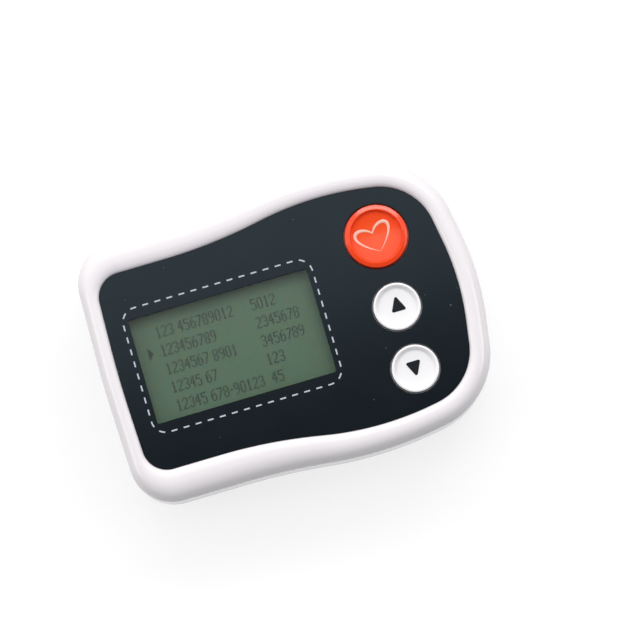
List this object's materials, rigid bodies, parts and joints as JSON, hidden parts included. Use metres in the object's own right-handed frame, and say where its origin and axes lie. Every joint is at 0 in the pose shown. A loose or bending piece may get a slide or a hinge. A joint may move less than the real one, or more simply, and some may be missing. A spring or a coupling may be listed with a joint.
{
  "type": "holter monitor",
  "caption": "Pocket heart recorder with a bottle-shaped white case, black front panel, display, round sprung buttons, lead socket and a sliding battery cover over one cell.",
  "frame": {"origin": "centre of the flat back face that the recorder rests on", "axes": "+X from the lead socket end to the button end, +Y towards the event button's side, +Z out of the front panel"},
  "size_m": [0.085, 0.0622, 0.0242],
  "materials": {
    "white_case": "glossy moulded",
    "black_panel": "glossy sheet",
    "clear_window": "clear, polished",
    "gasket_foam": "matt foam",
    "display_glass": "grey-green reflective",
    "diffuser": "milky",
    "strip_rubber": "matt",
    "black_plastic": "matt moulded",
    "board_green": "solder mask",
    "event_red": "translucent glossy",
    "button_white": "glossy moulded",
    "heart_pale": "pale relief",
    "arrow_black": "print",
    "spring_steel": "bright",
    "tray_grey": "matt moulded",
    "cell_jacket": "plain printed sleeve with bare metal ends",
    "socket_grey": "satin moulded",
    "pin_gold": "plated",
    "screw_steel": "plated",
    "chip_black": "matt epoxy",
    "crystal_can": "bright can",
    "capacitor_tan": "matt ceramic"
  },
  "bodies": {
    "case": {"front_shell": "white_case", "rear_shell": "white_case", "front_panel": "black_panel", "display_window": "clear_window", "display_gasket": "gasket_foam", "display_glass": "display_glass", "light_guide": "diffuser", "contact_strips": "strip_rubber", "display_holder": "black_plastic", "main_board": "board_green", "event_dome": "spring_steel", "up_dome": "spring_steel", "down_dome": "spring_steel", "battery_tray": "tray_grey", "battery_cell": "cell_jacket", "plus_contact": "spring_steel", "minus_contact": "spring_steel", "lead_socket": "socket_grey", "socket_pins": "pin_gold", "case_screws": "screw_steel", "tray_screws": "screw_steel", "board_screws": "screw_steel", "processor_chip": "chip_black", "signal_chip": "chip_black", "memory_chips": "chip_black", "clock_crystal": "crystal_can", "power_inductor": "chip_black", "board_capacitors": "capacitor_tan", "buzzer": "black_plastic"},
    "event_key": {"event_button": "event_red", "event_heart": "heart_pale"},
    "up_key": {"up_button": "button_white", "up_arrow": "arrow_black"},
    "down_key": {"down_button": "button_white", "down_arrow": "arrow_black"},
    "cover": {"battery_cover": "white_case"}
  },
  "joints": [
    {"name": "event_press", "type": "slide", "parent": "case", "child": "event_key", "axis": [0, 0, -1], "range_m": [0, 0.0005], "stiffness_N_per_m": 2000, "deforming": ["event_dome"]},
    {"name": "up_press", "type": "slide", "parent": "case", "child": "up_key", "axis": [0, 0, -1], "range_m": [0, 0.0005], "stiffness_N_per_m": 1500, "deforming": ["up_dome"]},
    {"name": "down_press", "type": "slide", "parent": "case", "child": "down_key", "axis": [0, 0, -1], "range_m": [0, 0.0005], "stiffness_N_per_m": 1500, "deforming": ["down_dome"]},
    {"name": "cover_slide", "type": "slide", "parent": "case", "child": "cover", "axis": [1, 0, 0], "range_m": [0, 0.029]}
  ]
}
